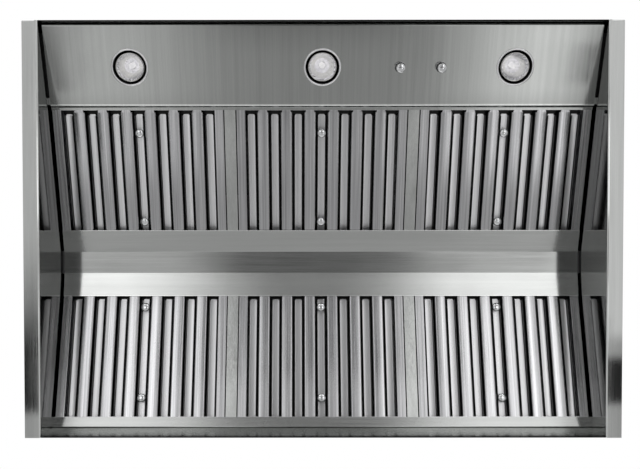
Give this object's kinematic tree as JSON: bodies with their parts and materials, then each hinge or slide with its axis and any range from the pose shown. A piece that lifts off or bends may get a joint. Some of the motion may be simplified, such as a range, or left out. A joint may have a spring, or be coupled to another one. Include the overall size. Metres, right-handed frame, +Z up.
{
  "type": "range hood insert",
  "caption": "Sheet-steel range hood insert with a sloped lamp panel, two banks of sliding baffle filters about a ridge, a roof blower box and a round duct collar.",
  "frame": {"origin": "middle of the bottom rim, on the plane of the side flanges' undersides", "axes": "+X to the right as the cook faces the hood, +Y towards the wall, +Z up"},
  "size_m": [1.219, 0.85, 0.5264],
  "materials": {
    "liner_steel": "fine brushed stainless sheet, grain along the hood's width",
    "filter_steel": "bright brushed stainless, grain along the baffles",
    "bright_chrome": "polished",
    "lamp_glass": "clear lens over a faceted silver reflector",
    "ceramic": "unglazed ceramic",
    "screw_steel": "turned steel",
    "black_plastic": "moulded",
    "zinc_steel": "galvanised sheet with a faint spangle",
    "motor_paint": "satin black paint"
  },
  "bodies": {
    "liner": {"left_side_wall": "liner_steel", "right_side_wall": "liner_steel", "front_wall": "liner_steel", "rear_wall": "liner_steel", "top_panel": "liner_steel", "control_panel": "liner_steel", "panel_end_brackets": "liner_steel", "front_grease_trough": "liner_steel", "rear_grease_trough": "liner_steel", "center_ridge": "liner_steel", "ridge_beam": "liner_steel", "filter_dividers": "liner_steel", "lamp_trim_left": "bright_chrome", "lamp_bulb_left": "lamp_glass", "lamp_trim_middle": "bright_chrome", "lamp_bulb_middle": "lamp_glass", "lamp_trim_right": "bright_chrome", "lamp_bulb_right": "lamp_glass", "lamp_sockets": "ceramic", "housing_screws": "screw_steel", "damper_rod": "screw_steel", "rotary_controls": "black_plastic", "supply_bushing": "black_plastic", "blower_box": "zinc_steel", "blower_box_lid": "zinc_steel", "duct_collar": "zinc_steel", "scroll_housing": "zinc_steel", "inlet_rings": "zinc_steel", "motor_bracket": "zinc_steel", "hanging_brackets": "zinc_steel", "junction_box": "zinc_steel", "junction_box_cover": "zinc_steel", "motor_casing": "motor_paint"},
    "fan_knob_body": {"fan_knob": "bright_chrome", "fan_control_shaft": "screw_steel"},
    "light_knob_body": {"light_knob": "bright_chrome", "light_control_shaft": "screw_steel"},
    "blower_rotor": {"blower_wheel": "zinc_steel", "blower_shaft": "screw_steel"},
    "damper_front": {"damper_flap_front": "zinc_steel"},
    "damper_rear": {"damper_flap_rear": "zinc_steel"},
    "filter_front_left": {"frame_front_left": "filter_steel", "baffles_front_left": "filter_steel", "handles_front_left": "bright_chrome"},
    "filter_front_middle": {"frame_front_middle": "filter_steel", "baffles_front_middle": "filter_steel", "handles_front_middle": "bright_chrome"},
    "filter_front_right": {"frame_front_right": "filter_steel", "baffles_front_right": "filter_steel", "handles_front_right": "bright_chrome"},
    "filter_rear_left": {"frame_rear_left": "filter_steel", "baffles_rear_left": "filter_steel", "handles_rear_left": "bright_chrome"},
    "filter_rear_middle": {"frame_rear_middle": "filter_steel", "baffles_rear_middle": "filter_steel", "handles_rear_middle": "bright_chrome"},
    "filter_rear_right": {"frame_rear_right": "filter_steel", "baffles_rear_right": "filter_steel", "handles_rear_right": "bright_chrome"}
  },
  "joints": [
    {"name": "fan_knob_turn", "type": "hinge", "parent": "liner", "child": "fan_knob_body", "pos_m": [0.161, -0.3367, 0.04093], "axis": [0, -0.3189, 0.9478], "range_deg": [0, 270]},
    {"name": "light_knob_turn", "type": "hinge", "parent": "liner", "child": "light_knob_body", "pos_m": [0.246, -0.3367, 0.04093], "axis": [0, -0.3189, 0.9478], "range_deg": [0, 270]},
    {"name": "blower_spin", "type": "hinge", "parent": "liner", "child": "blower_rotor", "pos_m": [0, 0.03915, 0.34], "axis": [1, 0, 0], "continuous": true},
    {"name": "damper_front_lift", "type": "hinge", "parent": "liner", "child": "damper_front", "pos_m": [0, 0.07615, 0.4903], "axis": [-1, 0, 0], "range_deg": [0, 80]},
    {"name": "damper_rear_lift", "type": "hinge", "parent": "liner", "child": "damper_rear", "pos_m": [0, 0.07615, 0.4903], "axis": [1, 0, 0], "range_deg": [0, 80]},
    {"name": "filter_front_left_slide", "type": "slide", "parent": "liner", "child": "filter_front_left", "axis": [0, 0.9659, 0.2588], "range_m": [0, 0.018]},
    {"name": "filter_front_middle_slide", "type": "slide", "parent": "liner", "child": "filter_front_middle", "axis": [0, 0.9659, 0.2588], "range_m": [0, 0.018]},
    {"name": "filter_front_right_slide", "type": "slide", "parent": "liner", "child": "filter_front_right", "axis": [0, 0.9659, 0.2588], "range_m": [0, 0.018]},
    {"name": "filter_rear_left_slide", "type": "slide", "parent": "liner", "child": "filter_rear_left", "axis": [0, -0.9659, 0.2588], "range_m": [0, 0.018]},
    {"name": "filter_rear_middle_slide", "type": "slide", "parent": "liner", "child": "filter_rear_middle", "axis": [0, -0.9659, 0.2588], "range_m": [0, 0.018]},
    {"name": "filter_rear_right_slide", "type": "slide", "parent": "liner", "child": "filter_rear_right", "axis": [0, -0.9659, 0.2588], "range_m": [0, 0.018]}
  ]
}
